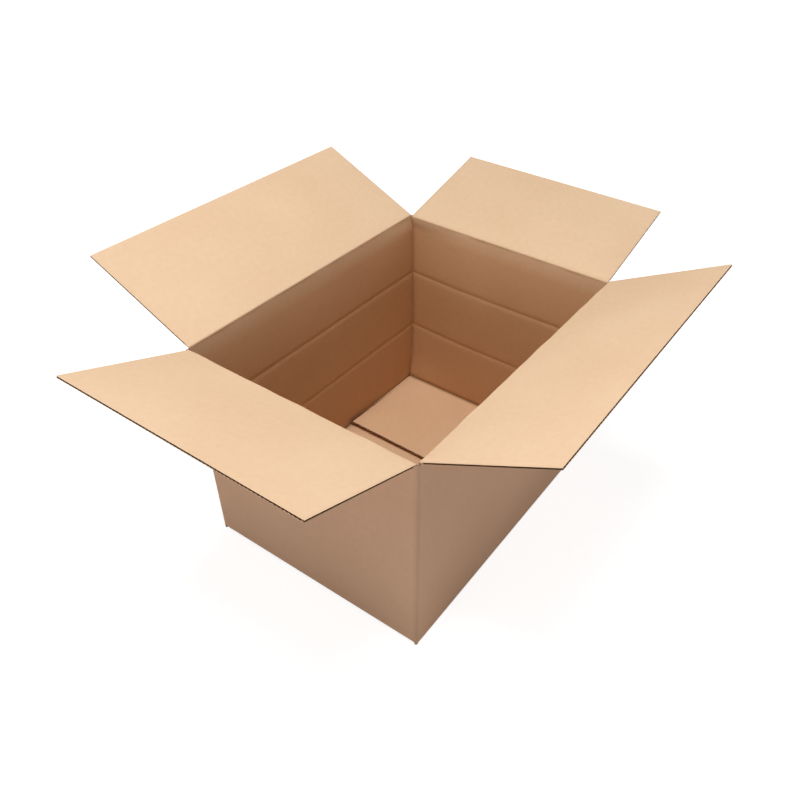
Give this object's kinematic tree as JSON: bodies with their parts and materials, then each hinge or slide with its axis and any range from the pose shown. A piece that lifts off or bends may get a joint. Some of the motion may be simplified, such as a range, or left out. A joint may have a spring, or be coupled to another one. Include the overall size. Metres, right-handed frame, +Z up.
{
  "type": "open cardboard box",
  "caption": "Open slotted carton of corrugated board: walls with extra scores inside, hinged top flaps standing open, and a closed, taped bottom.",
  "frame": {"origin": "on the surface that the carton stands on, under the middle of its bottom seam", "axes": "+X along the carton's long side, +Y towards the rear long wall, +Z up"},
  "size_m": [1.0365, 0.8627, 0.5253],
  "materials": {
    "kraft_board": "uncoated brown kraft liner, matt",
    "kraft_tape": "plain brown gummed paper tape, slightly smoother than the board"
  },
  "bodies": {
    "carton": {"carton_body": "kraft_board", "bottom_tape": "kraft_tape"},
    "front_top_flap": {"front_flap": "kraft_board"},
    "rear_top_flap": {"rear_flap": "kraft_board"},
    "left_top_flap": {"left_flap": "kraft_board"},
    "right_top_flap": {"right_flap": "kraft_board"}
  },
  "joints": [
    {"name": "front_flap_crease", "type": "hinge", "parent": "carton", "child": "front_top_flap", "pos_m": [0, -0.227, 0.42], "axis": [-1, 0, 0], "range_deg": [-97.2, 152.8]},
    {"name": "rear_flap_crease", "type": "hinge", "parent": "carton", "child": "rear_top_flap", "pos_m": [0, 0.227, 0.42], "axis": [1, 0, 0], "range_deg": [-94.3, 155.7]},
    {"name": "left_flap_crease", "type": "hinge", "parent": "carton", "child": "left_top_flap", "pos_m": [-0.302, 0, 0.4167], "axis": [0, 1, 0], "range_deg": [-90.2, 159.8]},
    {"name": "right_flap_crease", "type": "hinge", "parent": "carton", "child": "right_top_flap", "pos_m": [0.302, 0, 0.4167], "axis": [0, -1, 0], "range_deg": [-84.4, 165.6]}
  ]
}
